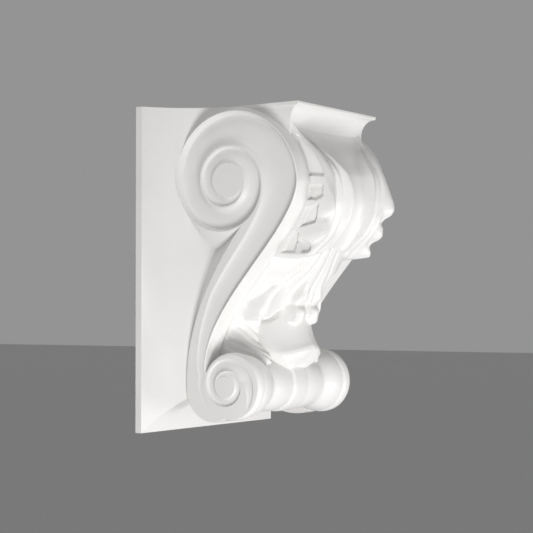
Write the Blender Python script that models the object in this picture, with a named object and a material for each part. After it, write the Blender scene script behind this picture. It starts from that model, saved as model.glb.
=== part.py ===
"""Wall corbel, cast in one piece: a back plate with mitred coves, side scrolls, a leaf front and a roll.

Metres, +Z up, X across the width, the front faces -Y. The origin is the centre of the flat back face,
which lies on the wall. Carving is given as shares of the height: depth forward from the wall first,
then height up from the foot of the plate.
"""
import math

import bmesh
import bpy
from mathutils import Vector

# Back plate and the cove that leads from it to the body on three sides
HEIGHT = 0.300
PLATE_WIDTH = 0.224
PLATE_THICKNESS = 0.0065
COVE_INSET = 0.0453
COVE_DEPTH = 0.0840
COVE_STEPS = 9

# Block between the scrolls and the cap moulding along the top of its front
BLOCK_DEPTH = 0.1440
CAP_WIDTH = 0.1466
CAP_DEPTH = 0.1510
CAP_PROJECTION = 0.0126
CAP_DROP = 0.0198
CAP_LIP = 0.0021
CAP_CHAMFER = 0.0012
CAP_FOOT = 0.0300
CAP_STEPS = 6

# Side scrolls, measured over both faces, and the thickness of one
SCROLL_WIDTH = 0.1686
SCROLL_THICKNESS = 0.0215
SCROLL_DRAFT = 0.0108
DRAFT_LEVELS = ((0.0, 1.0), (0.20, 1.0), (0.50, 0.36), (1.0, 0.0))
CHANNEL_DEPTH = 0.0070
CHANNEL_SLOPE = 0.26
CHANNEL_CLEAR = 0.012
CHANNEL_START = 0.3
CHANNEL_WIDTH = 0.25
UPPER_FADES = (7, 5)
LOWER_FADES = (5, 8)
CHANNEL_PROFILE = ((0.00, 0.00), (0.12, 0.46), (0.30, 0.82), (0.58, 1.00), (0.88, 1.00), (1.00, 0.00))
CREST_LAND = 0.0012

# Upper volute and S band
VOLUTE_CENTRE = (0.268, 0.765)
VOLUTE_RADIUS = 0.2555
VOLUTE_SHRINK = 0.844
VOLUTE_TURNS = 2.75
VOLUTE_STEPS = 36
VOLUTE_TOP_SHARE = 0.4
VOLUTE_TOP_LEAN = (0.9, 1.6)
VOLUTE_WALL_LEAN = (1.9, 3.4)
BAND_STEPS = 14
BAND_LAP = math.radians(20.0)
BAND_PULL = 0.160
BAND_FOOT = (0.193, 0.190)
BAND_FOOT_PULL = 0.210
BAND_CREST = ((0.398, 0.745), (0.395, 0.600), (0.150, 0.460), (0.142, 0.200))
BAND_BACK = ((0.330, 0.640), (0.230, 0.520), (0.126, 0.350), (0.124, 0.160))
HEEL_CENTRE = (0.224, 0.135)
HEEL_RADIUS = 0.100
HEEL_TURNS = (math.radians(180.0), math.radians(297.0))
HEEL_STEPS = 7
STEPS_PER_TURN = 24

# Lower volute
LOWER_CENTRE = (0.270, 0.145)
LOWER_RADIUS = 0.1010
LOWER_SHRINK = 0.857
LOWER_START = math.radians(-42.0)
LOWER_TURNS = 1.56

# Roll at the foot of the scrolls, with the turned outline of its parts as (distance out, radius)
ROLL_CENTRE = (0.287, 0.144)
DISC_RADIUS = 0.0308
DISC_EDGE = 0.0012
DISC_THICKNESS = 0.0118
BELL_RADIUS = 0.0294
NECK_RADIUS = 0.0229
NECK_ACROSS = 0.0456
BELL_CURVE = 1.3
BARREL_RADIUS = 0.0250
COLLAR_RADIUS = 0.0261
COLLAR_WIDTH = 0.0240
COLLAR_ROUND = 0.0010
ROLL_GROOVE = 0.0012
TURNED_STEPS = 5
ROLL_SIDES = 36

# Lines of the front carving: (height, half width across) and (height, depth)
WAIST = 0.570
RIDGE_ACROSS = ((0.945, 0.186), (0.905, 0.163), (0.888, 0.145), (0.839, 0.107), (0.788, 0.081), (0.714, 0.066),
                (0.617, 0.058), (0.570, 0.042), (0.500, 0.044), (0.400, 0.052), (0.345, 0.052), (0.170, 0.040))
RIDGE_DEPTH = ((0.945, 0.458), (0.905, 0.484), (0.888, 0.497), (0.839, 0.543), (0.788, 0.582), (0.714, 0.601),
               (0.662, 0.586), (0.617, 0.560), (0.570, 0.500), (0.500, 0.454), (0.430, 0.412), (0.385, 0.400),
               (0.345, 0.397), (0.332, 0.371), (0.300, 0.380), (0.258, 0.404), (0.244, 0.402), (0.225, 0.390),
               (0.195, 0.357), (0.170, 0.331))
MIDDLE_DEPTH = ((0.945, 0.456), (0.905, 0.472), (0.888, 0.484), (0.839, 0.523), (0.788, 0.555), (0.714, 0.569),
                (0.662, 0.560), (0.617, 0.536), (0.570, 0.490), (0.500, 0.450), (0.430, 0.412), (0.385, 0.400),
                (0.345, 0.400), (0.332, 0.386), (0.300, 0.394), (0.268, 0.413), (0.252, 0.415), (0.225, 0.389),
                (0.195, 0.356), (0.170, 0.332))
BLADE_DEPTH = ((0.945, 0.454), (0.888, 0.488), (0.839, 0.530), (0.788, 0.568), (0.714, 0.591), (0.662, 0.575),
               (0.617, 0.552), (0.570, 0.480), (0.500, 0.414), (0.430, 0.366), (0.385, 0.356), (0.345, 0.350),
               (0.332, 0.330), (0.300, 0.339), (0.250, 0.368), (0.215, 0.369), (0.195, 0.354), (0.170, 0.330))
EDGE_DEPTH = ((0.945, 0.452), (0.888, 0.484), (0.839, 0.526), (0.788, 0.562), (0.712, 0.584), (0.662, 0.560),
              (0.617, 0.548), (0.585, 0.508), (0.560, 0.450), (0.500, 0.384), (0.430, 0.322), (0.385, 0.286),
              (0.345, 0.272), (0.332, 0.305), (0.300, 0.314), (0.250, 0.342), (0.215, 0.360), (0.170, 0.330))
BLADE_INSET = 0.028
EDGE_ACROSS = 0.199
EDGE_FALL = 0.35
EDGE_ROUND = 0.17
SKIRT_RIB_ACROSS = 0.138
SKIRT_SINK = 0.020
VALLEY_SINK = 0.020
VALLEY_ACROSS = 0.50
VALLEY_RISE = 0.05
VALLEY_FADE = 0.10
SLOPE_PLACE = 0.30
SLOPE_FALL = 0.45
FLUTE_PLACE = 0.45
FLUTE_RISE = 0.18
FLUTE_EDGE = 0.85
FLUTE_EDGE_RISE = 0.62
BLADE_ROUND = 0.004
FRONT_TOP = 0.945
FRONT_FOOT = 0.150
FRONT_ROWS = 46
FRONT_BACK = 0.060
LOBES = 4
LOBE_BITE = 0.018
LOBE_POWER = 1.5
HEM = 0.340
HEM_RISE = 0.048
HEM_REACH = 0.110
TONGUE_ACROSS = ((0.340, 0.130), (0.270, 0.130), (0.248, 0.124), (0.215, 0.098), (0.195, 0.062), (0.176, 0.012))
TONGUE_BLADE = 0.84
TONGUE_SWELL = 0.002
TONGUE_LIP = 0.026
FLANK_DEPTH = ((0.340, 0.284), (0.290, 0.278), (0.260, 0.286), (0.235, 0.304), (0.215, 0.312), (0.196, 0.260),
               (0.150, 0.240))
LEAF_FLOOR = 0.012
SKIRT_FLOOR = 0.006
WALL_STEP = 0.004
WALL_FOOT = 0.213
PANEL_SINK = 0.020
PANEL_FOOT = (0.30, 0.12)
PANEL_CREST = (8.0, 18.0, 28.0, 34.0)
PANEL_SHOULDER = 0.905
PANEL_CLEAR = 0.01
HALVINGS = 24

# Finish
CASTING_COLOUR = (0.83, 0.82, 0.81, 1.0)
CASTING_ROUGHNESS = 0.45

PLATE_HALF = PLATE_WIDTH / 2
FACE = SCROLL_WIDTH / 2
PANEL_HALF = FACE - SCROLL_THICKNESS
BLOCK_HALF = PLATE_HALF - COVE_INSET


def clear_scene():
    """Removes every object of the open scene."""
    for item in list(bpy.data.objects):
        bpy.data.objects.remove(item, do_unlink=True)


def casting_white():
    """Gives the satin white finish of the casting."""
    material = bpy.data.materials.new("casting_white")
    material.use_nodes = True
    shader = material.node_tree.nodes["Principled BSDF"]
    shader.inputs["Base Color"].default_value = CASTING_COLOUR
    shader.inputs["Roughness"].default_value = CASTING_ROUGHNESS
    shader.inputs["Metallic"].default_value = 0.0
    return material


def read_line(points, height):
    """Size at a height on a line given by points with falling heights."""
    if height >= points[0][0]:
        return points[0][1]
    for (above, first), (below, second) in zip(points, points[1:]):
        if height >= below:
            return first + (second - first) * (above - height) / (above - below)
    return points[-1][1]


def bezier(points, t):
    """Point at t on the cubic curve of four points."""
    weights = ((1 - t) ** 3, 3 * t * (1 - t) ** 2, 3 * t * t * (1 - t), t ** 3)
    return Vector([sum(w * p[axis] for w, p in zip(weights, points)) for axis in (0, 1)])


def place(across, carving):
    """Point in metres at a distance across and a (depth, height) of the carving."""
    return Vector((across, -carving[0] * HEIGHT, carving[1] * HEIGHT))


def finish(bm, name):
    """Makes a hidden tool object of a closed bmesh, with its faces outward."""
    bmesh.ops.remove_doubles(bm, verts=bm.verts, dist=0.000002)
    bmesh.ops.triangulate(bm, faces=bm.faces[:])
    bmesh.ops.recalc_face_normals(bm, faces=bm.faces)
    mesh = bpy.data.meshes.new(name)
    bm.to_mesh(mesh)
    bm.free()
    item = bpy.data.objects.new(name, mesh)
    bpy.context.scene.collection.objects.link(item)
    item.hide_render = True
    item.display_type = "WIRE"
    return item


def loft(sections, name):
    """Closed solid through a row of sections that have equal numbers of corners."""
    corners = len(sections[0])
    bm = bmesh.new()
    bmesh.ops.create_grid(bm, x_segments=corners, y_segments=len(sections) - 1, size=0.5)
    for vert in bm.verts:
        corner = round((vert.co.x + 0.5) * corners) % corners
        row = round((vert.co.y + 0.5) * (len(sections) - 1))
        vert.co = sections[row][corner]
    bmesh.ops.remove_doubles(bm, verts=bm.verts, dist=0.000002)
    caps = bmesh.ops.holes_fill(bm, edges=[edge for edge in bm.edges if edge.is_boundary])["faces"]
    bmesh.ops.triangulate(bm, faces=caps, ngon_method="EAR_CLIP")
    return finish(bm, name)


def cove_inset(depth):
    """How far the cove has drawn in from the plate's edge at a depth from the wall."""
    run = COVE_DEPTH - PLATE_THICKNESS
    radius = (COVE_INSET ** 2 + run ** 2) / (2 * COVE_INSET)
    back = COVE_DEPTH - depth
    return COVE_INSET - radius + math.sqrt(radius ** 2 - back ** 2)


def core_block():
    """Back plate, coves and the block between the scrolls; the lower corners mitre of themselves."""
    def section(depth, half, foot):
        corners = ((-half, foot), (half, foot), (half, HEIGHT), (-half, HEIGHT))
        return [Vector((x, -depth, z)) for x, z in corners]

    sections = [section(0.0, PLATE_HALF, 0.0)]
    for step in range(COVE_STEPS + 1):
        depth = PLATE_THICKNESS + (COVE_DEPTH - PLATE_THICKNESS) * step / COVE_STEPS
        inset = cove_inset(depth)
        sections.append(section(depth, PLATE_HALF - inset, inset))
    sections.append(section(BLOCK_DEPTH, BLOCK_HALF, COVE_INSET))
    return loft(sections, "core_block")


def front_edge(t):
    """Front edge of the S band, from the volute at t 0 to its foot behind the roll at t 1."""
    start = volute_crest(0.0)
    pulls = ((start[0], start[1] - BAND_PULL), (BAND_FOOT[0], BAND_FOOT[1] + BAND_FOOT_PULL))
    return bezier((start, *pulls, BAND_FOOT), t)


def volute_crest(angle):
    """Crest of the upper volute; the angle grows from the front over the top."""
    radius = VOLUTE_RADIUS * VOLUTE_SHRINK ** (angle / (math.pi / 2))
    return Vector((VOLUTE_CENTRE[0] + radius * math.cos(angle), VOLUTE_CENTRE[1] + radius * math.sin(angle)))


def lower_crest(angle):
    """Crest of the lower volute; the angle grows from the front over the top."""
    radius = LOWER_RADIUS * LOWER_SHRINK ** (angle / (math.pi / 2))
    return Vector((LOWER_CENTRE[0] + radius * math.cos(angle), LOWER_CENTRE[1] + radius * math.sin(angle)))


def panel_profile():
    """Prism across the whole width that trims the block to the line of the S band and the cap's neck."""
    neck = (CAP_DEPTH - CAP_PROJECTION) / HEIGHT
    line = [(-PANEL_CLEAR, -PANEL_CLEAR), (PANEL_FOOT[0], -PANEL_CLEAR), PANEL_FOOT]
    line += [front_edge(1 - step / BAND_STEPS) - Vector((PANEL_SINK, 0.0)) for step in range(BAND_STEPS)]
    line += [volute_crest(math.radians(angle)) - Vector((PANEL_SINK, 0.0)) for angle in PANEL_CREST]
    line += [(neck, PANEL_SHOULDER), (neck, 1.0 + PANEL_CLEAR), (-PANEL_CLEAR, 1.0 + PANEL_CLEAR)]
    half = PLATE_HALF + PANEL_CLEAR
    return loft([[place(x, point) for point in line] for x in (-half, half)], "panel")


def ease(low, high, value):
    """Smooth rise from 0 at low to 1 at high."""
    share = min(1.0, max(0.0, (value - low) / (high - low)))
    return share * share * (3 - 2 * share)


def drafted_slab(side, line, leans, name):
    """Slab from the block out to the scroll's face, whose wall side spreads toward the block."""
    normals = []
    for index in range(len(line)):
        along = line[min(index + 1, len(line) - 1)] - line[max(index - 1, 0)]
        normals.append(Vector((along.y, -along.x)).normalized())
    sections = []
    for share, lean in DRAFT_LEVELS:
        across = PANEL_HALF + SCROLL_THICKNESS * share
        spread = SCROLL_DRAFT / HEIGHT * lean
        section = [point + normal * spread * part for point, normal, part in zip(line, normals, leans)]
        sections.append([place(side * across, point) for point in section])
    return loft(sections, f"{name}_{'left' if side < 0 else 'right'}")


def volute_slab(side):
    """Upper volute as one full turn of its crest; side is -1 for the left and 1 for the right."""
    angles = [math.tau * step / VOLUTE_STEPS for step in range(VOLUTE_STEPS + 1)]
    line = [volute_crest(angle) for angle in angles]
    leans = []
    for angle in angles:
        wall = ease(*VOLUTE_WALL_LEAN, angle)
        leans.append(wall + VOLUTE_TOP_SHARE * (ease(*VOLUTE_TOP_LEAN, angle) - wall))
    return drafted_slab(side, line, leans, "volute")


def band_slab(side):
    """S band with its heel, from the volute down to the roll."""
    line = [front_edge(1 - step / BAND_STEPS) for step in range(BAND_STEPS)]
    line += [volute_crest(BAND_LAP * step / 2) for step in range(3)]
    line.append(Vector(VOLUTE_CENTRE))
    leans = [0.0] * len(line)
    line += [bezier(BAND_BACK, step / BAND_STEPS) for step in range(BAND_STEPS + 1)]
    leans += [1.0] * (BAND_STEPS + 1)
    for step in range(1, HEEL_STEPS + 1):
        turn = HEEL_TURNS[0] + (HEEL_TURNS[1] - HEEL_TURNS[0]) * step / HEEL_STEPS
        line.append(Vector(HEEL_CENTRE) + HEEL_RADIUS * Vector((math.cos(turn), math.sin(turn))))
        leans.append(1.0 - ease(0.0, HEEL_STEPS, step))
    line.append(Vector(ROLL_CENTRE))
    leans.append(0.0)
    return drafted_slab(side, line, leans, "band")


def channel(side, pairs, fade_in, fade_out, name):
    """Cutter of a channel between pairs of outer and inner crest points, fading out at its ends."""
    sections = []
    for count, (outer, inner) in enumerate(pairs):
        outer = outer * HEIGHT
        inner = inner * HEIGHT
        across = (outer - inner).normalized() * CREST_LAND / 2
        run = (outer - inner).length
        left = len(pairs) - 1 - count
        share = min(1.0, (count + CHANNEL_START) / fade_in, (left + CHANNEL_START) / fade_out)
        inner = outer.lerp(inner, CHANNEL_WIDTH + (1.0 - CHANNEL_WIDTH) * share) + across
        outer = outer - across
        sink = min(CHANNEL_DEPTH, run * CHANNEL_SLOPE) * share
        section = [(FACE - sink * deep, inner.lerp(outer, part)) for part, deep in CHANNEL_PROFILE]
        section += [(FACE + CHANNEL_CLEAR, outer), (FACE + CHANNEL_CLEAR, inner)]
        sections.append([Vector((side * x, -point.x, point.y)) for x, point in section])
    return loft(sections, f"{name}_{'left' if side < 0 else 'right'}")


def upper_channel(side):
    """Channel that rises up the S band and winds round the upper volute to its eye."""
    pairs = []
    for step in range(BAND_STEPS):
        pairs.append((front_edge(1 - step / BAND_STEPS), bezier(BAND_CREST, 1 - step / BAND_STEPS)))
    step_angle = math.tau / STEPS_PER_TURN
    for step in range(round((VOLUTE_TURNS - 1) * STEPS_PER_TURN) + 1):
        pairs.append((volute_crest(step * step_angle), volute_crest(step * step_angle + math.tau)))
    return channel(side, pairs, *UPPER_FADES, "upper_channel")


def lower_channel(side):
    """Channel of the lower volute, from the heel over the disc to its eye."""
    step_angle = math.tau / STEPS_PER_TURN
    pairs = []
    for step in range(round(LOWER_TURNS * STEPS_PER_TURN) + 1):
        angle = LOWER_START + step * step_angle
        pairs.append((lower_crest(angle), lower_crest(angle + math.tau)))
    return channel(side, pairs, *LOWER_FADES, "lower_channel")


def roll():
    """Roll turned about X: end discs, flared bells, two barrels and a middle collar."""
    disc_end = FACE - DISC_THICKNESS
    bell_end = disc_end - ROLL_GROOVE
    collar_end = COLLAR_WIDTH / 2
    side = [(FACE, 0.0), (FACE, DISC_RADIUS - DISC_EDGE), (FACE - DISC_EDGE, DISC_RADIUS)]
    side.append((disc_end, DISC_RADIUS))
    side.append((disc_end - ROLL_GROOVE / 2, BELL_RADIUS - ROLL_GROOVE))
    for step in range(TURNED_STEPS):
        share = step / TURNED_STEPS
        radius = NECK_RADIUS + (BELL_RADIUS - NECK_RADIUS) * math.cos(share * math.pi / 2) ** BELL_CURVE
        side.append((bell_end - (bell_end - NECK_ACROSS) * share, radius))
    for step in range(TURNED_STEPS):
        swell = math.sin(math.pi * step / TURNED_STEPS)
        run = (NECK_ACROSS - collar_end) * step / TURNED_STEPS
        side.append((NECK_ACROSS - run, NECK_RADIUS + (BARREL_RADIUS - NECK_RADIUS) * swell))
    side.append((collar_end, NECK_RADIUS + COLLAR_ROUND))
    side.append((collar_end - COLLAR_ROUND, COLLAR_RADIUS - COLLAR_ROUND))
    side.append((collar_end - 3 * COLLAR_ROUND, COLLAR_RADIUS))
    outline = side + [(-x, radius) for x, radius in reversed(side)]
    centre = place(0.0, ROLL_CENTRE)
    bm = bmesh.new()
    verts = [bm.verts.new(centre + Vector((x, 0.0, radius))) for x, radius in outline]
    edges = [bm.edges.new(pair) for pair in zip(verts, verts[1:])]
    bmesh.ops.spin(bm, geom=verts + edges, cent=centre, axis=(1.0, 0.0, 0.0), angle=math.tau,
                   steps=ROLL_SIDES, use_merge=True)
    return finish(bm, "roll")


def cap_moulding():
    """Cap with a lip over a cavetto, from level slices; its side returns taper back to the block."""
    fall = CAP_LIP + CAP_CHAMFER
    slices = [(0.0, 0.0), (CAP_LIP, 0.0)]
    for step in range(CAP_STEPS + 1):
        turn = math.pi / 2 * step / CAP_STEPS
        slices.append((fall + (CAP_DROP - fall) * (1 - math.cos(turn)),
                       CAP_CHAMFER + (CAP_PROJECTION - CAP_CHAMFER) * math.sin(turn)))
    slices.append((CAP_FOOT, CAP_PROJECTION))
    sections = []
    for drop, draw in slices:
        half = CAP_WIDTH / 2 - (CAP_WIDTH / 2 - BLOCK_HALF) * draw / CAP_PROJECTION
        front = CAP_DEPTH - draw
        corners = ((-BLOCK_HALF, -COVE_DEPTH), (BLOCK_HALF, -COVE_DEPTH), (half, -front), (-half, -front))
        sections.append([Vector((x, y, HEIGHT - drop)) for x, y in corners])
    return loft(sections, "cap_moulding")


def carved_row(height):
    """Half of one level of the front carving, from the middle outward, as (across, depth) points."""
    ridge = read_line(RIDGE_ACROSS, height)
    ridge_depth = read_line(RIDGE_DEPTH, height)
    middle = read_line(MIDDLE_DEPTH, height)
    blade_depth = read_line(BLADE_DEPTH, height)
    edge_depth = read_line(EDGE_DEPTH, height)
    strip = panel_depth(height)
    edge = EDGE_ACROSS
    if height > WAIST:
        lobe = abs(math.sin(math.pi * LOBES * (FRONT_TOP - height) / (FRONT_TOP - WAIST)))
        edge -= LOBE_BITE * (1 - lobe) ** LOBE_POWER
        blade = edge - BLADE_INSET
        sink = VALLEY_SINK * min(1.0, (height - WAIST) / VALLEY_RISE, (FRONT_TOP - height) / VALLEY_FADE)
        floor = strip - LEAF_FLOOR
        wall = floor
    elif height > HEM:
        blade = SKIRT_RIB_ACROSS
        sink = SKIRT_SINK * (WAIST - height) / (WAIST - HEM)
        floor = strip - SKIRT_FLOOR
        wall = floor
    else:
        edge = read_line(TONGUE_ACROSS, height)
        blade = edge * TONGUE_BLADE
        sink = -TONGUE_SWELL
        floor = read_line(FLANK_DEPTH, height)
        wall = strip - SKIRT_FLOOR
        edge_depth = max(edge_depth, blade_depth - TONGUE_LIP)
    ridge = min(ridge, blade * TONGUE_BLADE)
    valley = ridge + (blade - ridge) * VALLEY_ACROSS
    valley_depth = (ridge_depth + blade_depth) / 2 - sink
    inner_slope = ridge + (valley - ridge) * SLOPE_PLACE
    row = [(0.0, middle), (ridge * FLUTE_PLACE, middle + (ridge_depth - middle) * FLUTE_RISE)]
    row += [(ridge * FLUTE_EDGE, middle + (ridge_depth - middle) * FLUTE_EDGE_RISE), (ridge, ridge_depth)]
    row += [(inner_slope, ridge_depth - (ridge_depth - valley_depth) * SLOPE_FALL), (valley, valley_depth)]
    row += [(blade - (blade - valley) * SLOPE_PLACE, blade_depth - BLADE_ROUND), (blade, blade_depth)]
    row += [(edge - (edge - blade) * EDGE_ROUND, edge_depth), (edge, edge_depth - (edge_depth - floor) * EDGE_FALL)]
    row += [(edge + WALL_STEP, floor), (WALL_FOOT, wall)]
    return row


def panel_depth(height):
    """Depth of the S band's front edge at a height, by halving."""
    if height >= VOLUTE_CENTRE[1]:
        low, high = 0.0, math.pi / 2
        for _ in range(HALVINGS):
            middle = (low + high) / 2
            if volute_crest(middle)[1] < height:
                low = middle
            else:
                high = middle
        return volute_crest(low)[0]
    low, high = 0.0, 1.0
    for _ in range(HALVINGS):
        middle = (low + high) / 2
        if front_edge(middle)[1] > height:
            low = middle
        else:
            high = middle
    return front_edge(low)[0]


def front_carving():
    """Leaf, skirt and tongue on the front, as one deep sheet whose back lies inside the block."""
    half_columns = len(carved_row(0.5)) - 1
    columns = 2 * half_columns
    bm = bmesh.new()
    bmesh.ops.create_grid(bm, x_segments=columns, y_segments=FRONT_ROWS, size=0.5)
    made = bmesh.ops.extrude_face_region(bm, geom=bm.faces[:])["geom"]
    behind = {part for part in made if isinstance(part, bmesh.types.BMVert)}
    for vert in bm.verts:
        column = round((vert.co.x + 0.5) * columns) - half_columns
        share = 0.5 - vert.co.y
        height = FRONT_TOP + (FRONT_FOOT - FRONT_TOP) * share
        across, depth = carved_row(height)[abs(column)]
        lift = HEM_RISE * (across / WALL_FOOT) ** 2 * ease(HEM_REACH, 0.0, abs(height - HEM))
        if vert in behind:
            across = WALL_FOOT * abs(column) / half_columns
            depth = panel_depth(height) - FRONT_BACK
        vert.co = place(math.copysign(across * HEIGHT, column), (depth, height + lift))
    return finish(bm, "front_carving")


def combine(base, tool, operation, solver="EXACT"):
    """Adds a Boolean to the base."""
    boolean = base.modifiers.new(f"{operation.lower()}_{tool.name}", "BOOLEAN")
    boolean.operation = operation
    boolean.solver = solver
    boolean.object = tool
    return boolean


def corbel():
    """Joins all the masses into the one casting and cuts the channels of the scrolls."""
    body = core_block()
    body.name = "corbel"
    body.hide_render = False
    body.display_type = "TEXTURED"
    combine(body, panel_profile(), "INTERSECT")
    for side in (-1, 1):
        combine(body, volute_slab(side), "UNION")
        combine(body, band_slab(side), "UNION")
    combine(body, cap_moulding(), "UNION")
    # The exact solver drops the block when the carving's many facets meet it
    combine(body, front_carving(), "UNION", "MANIFOLD")
    # The disc's end lies in the plane of the scroll's face, where the exact solver leaves open edges
    combine(body, roll(), "UNION", "MANIFOLD")
    for side in (-1, 1):
        combine(body, upper_channel(side), "DIFFERENCE", "MANIFOLD")
        combine(body, lower_channel(side), "DIFFERENCE", "MANIFOLD")
    body.location.z = -HEIGHT / 2
    for tool in bpy.data.objects:
        if tool is not body:
            tool.location.z = -HEIGHT / 2
    body.data.materials.append(casting_white())
    return body


clear_scene()
corbel()
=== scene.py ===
"""Scrolled wall corbel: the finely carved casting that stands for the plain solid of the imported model.

The corbel hangs by its flat back. X runs across the width, the front faces -Y and Z is up. Carving is
given as shares of the height: depth forward from the wall first, then height up from the foot.
"""
import logging
import math
from dataclasses import dataclass, field
from enum import Enum

import bmesh
import bpy
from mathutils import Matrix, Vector


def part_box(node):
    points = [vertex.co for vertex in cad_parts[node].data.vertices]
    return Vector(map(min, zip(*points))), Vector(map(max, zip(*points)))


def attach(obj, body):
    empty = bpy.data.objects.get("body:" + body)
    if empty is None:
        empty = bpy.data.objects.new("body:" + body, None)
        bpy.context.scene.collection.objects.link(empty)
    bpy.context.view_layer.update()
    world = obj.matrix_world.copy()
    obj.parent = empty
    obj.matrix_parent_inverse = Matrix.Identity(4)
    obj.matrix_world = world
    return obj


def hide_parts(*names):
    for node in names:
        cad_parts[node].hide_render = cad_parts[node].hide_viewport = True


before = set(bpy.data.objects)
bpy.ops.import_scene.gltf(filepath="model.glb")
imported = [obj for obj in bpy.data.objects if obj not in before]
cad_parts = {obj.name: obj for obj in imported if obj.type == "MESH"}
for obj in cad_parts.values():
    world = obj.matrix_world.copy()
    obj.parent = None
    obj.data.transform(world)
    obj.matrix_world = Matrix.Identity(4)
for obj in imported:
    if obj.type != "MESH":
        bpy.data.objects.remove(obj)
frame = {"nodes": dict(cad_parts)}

LOG = logging.getLogger("corbel")
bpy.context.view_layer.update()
NODE = "corbel"
BODY = "root"
MERGE_GAP = 0.000002
UNIT_HALF = 0.5
HALVINGS = 30
LEAST_RUN = 1e-6
LEAST_RISE = 0.001
QUARTER = math.pi / 2

Pair = tuple[float, float]
Triple = tuple[float, float, float]
Colour = tuple[float, float, float, float]
Line = tuple[Pair, ...]


class Side(Enum):
    """Half of the corbel, by the sign of its X."""

    LEFT = -1
    RIGHT = 1


class Join(Enum):
    """How a solid meets the casting."""

    ADD = "UNION"
    CUT = "DIFFERENCE"
    KEEP = "INTERSECT"


@dataclass(frozen=True)
class Frame:
    """Outer sizes of the corbel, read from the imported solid."""

    low: Vector
    high: Vector

    @property
    def height(self) -> float:
        """Height of the plate in metres."""
        return self.high.z - self.low.z

    @property
    def half_width(self) -> float:
        """Half of the plate's width in metres."""
        return (self.high.x - self.low.x) / 2

    def place(self, across: float, carving: Pair) -> Vector:
        """Puts a carving point in the object's own frame.

        Args:
            across: Distance from the middle plane, as a share of the height.
            carving: Depth from the wall and height from the foot, as shares of the height.

        Returns:
            The point in metres.
        """
        depth, rise = carving
        return Vector((across * self.height, -depth * self.height, self.low.z + rise * self.height))


def read_line(points: Line, place: float) -> float:
    """Reads a smooth line through points at rising or falling places.

    Args:
        points: Pairs of a place and the size there.
        place: Where to read the line.

    Returns:
        The size at that place, held level past both ends.
    """
    ordered = sorted(points)
    if place <= ordered[0][0]:
        return ordered[0][1]
    if place >= ordered[-1][0]:
        return ordered[-1][1]
    last = len(ordered) - 1
    for index in range(last):
        start, low = ordered[index]
        end, high = ordered[index + 1]
        if place > end:
            continue
        run = end - start
        slope = (high - low) / run
        before = (low - ordered[index - 1][1]) / (start - ordered[index - 1][0]) if index else slope
        after = (ordered[index + 2][1] - high) / (ordered[index + 2][0] - end) if index + 1 < last else slope
        leave = 0.0 if before * slope <= 0 else 2 * before * slope / (before + slope)
        arrive = 0.0 if after * slope <= 0 else 2 * after * slope / (after + slope)
        t = (place - start) / run
        bend = t * t * (3 - 2 * t)
        return (low + (high - low) * bend + run * leave * t * (1 - t) ** 2 - run * arrive * t * t * (1 - t))
    return ordered[-1][1]


def bezier(points: Line, t: float) -> Vector:
    """Gives the point at t on the cubic curve of four points.

    Args:
        points: The four control points.
        t: Share of the way, from 0 to 1.

    Returns:
        The point as a two-part vector.
    """
    weights = ((1 - t) ** 3, 3 * t * (1 - t) ** 2, 3 * t * t * (1 - t), t ** 3)
    return Vector([sum(w * p[axis] for w, p in zip(weights, points)) for axis in (0, 1)])


def arm(angle: float) -> Vector:
    """Gives the arm of length 1 at an angle that grows from the front over the top."""
    return Vector((math.cos(angle), math.sin(angle)))


def ease(low: float, high: float, value: float) -> float:
    """Runs from 0 at low to 1 at high, level at both ends.

    Args:
        low: Where the rise starts.
        high: Where the rise ends.
        value: Where to read it.

    Returns:
        The share of the rise.
    """
    share = min(1.0, max(0.0, (value - low) / (high - low)))
    return share * share * (3 - 2 * share)


def bump(centre: float, width: float, value: float) -> float:
    """Gives a rounded swelling that is 1 at its centre and fades over its width.

    Args:
        centre: Where the swelling is highest.
        width: How far it reaches on each side.
        value: Where to read it.

    Returns:
        The swelling's share of its height.
    """
    return math.exp(-((value - centre) / width) ** 2)


def solid_from(bm: bmesh.types.BMesh, name: str) -> bpy.types.Object:
    """Closes a bmesh into an object whose faces point outward.

    Args:
        bm: The finished bmesh, which is freed.
        name: Name of the new object.

    Returns:
        The object, linked to the scene.
    """
    bmesh.ops.remove_doubles(bm, verts=bm.verts, dist=MERGE_GAP)
    bmesh.ops.triangulate(bm, faces=bm.faces[:])
    bmesh.ops.recalc_face_normals(bm, faces=bm.faces)
    mesh = bpy.data.meshes.new(name)
    bm.to_mesh(mesh)
    bm.free()
    solid = bpy.data.objects.new(name, mesh)
    bpy.context.scene.collection.objects.link(solid)
    return solid


def apply_modifiers(solid: bpy.types.Object) -> None:
    """Turns an object's modifiers into its mesh.

    Args:
        solid: The object, whose old mesh is removed.
    """
    evaluated = solid.evaluated_get(bpy.context.evaluated_depsgraph_get())
    mesh = bpy.data.meshes.new_from_object(evaluated)
    solid.modifiers.clear()
    old = solid.data
    solid.data = mesh
    bpy.data.meshes.remove(old)


def loft(sections: list[list[Vector]], name: str) -> bpy.types.Object:
    """Builds a closed solid through sections with equal numbers of corners.

    Args:
        sections: The rings of corners, in order.
        name: Name of the new object.

    Returns:
        The closed solid.
    """
    corners = len(sections[0])
    rows = len(sections) - 1
    bm = bmesh.new()
    bmesh.ops.create_grid(bm, x_segments=corners, y_segments=rows, size=UNIT_HALF)
    for vert in bm.verts:
        corner = round((vert.co.x + UNIT_HALF) * corners) % corners
        vert.co = sections[round((vert.co.y + UNIT_HALF) * rows)][corner]
    bmesh.ops.remove_doubles(bm, verts=bm.verts, dist=MERGE_GAP)
    bmesh.ops.holes_fill(bm, edges=[edge for edge in bm.edges if edge.is_boundary])
    return solid_from(bm, name)


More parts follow.
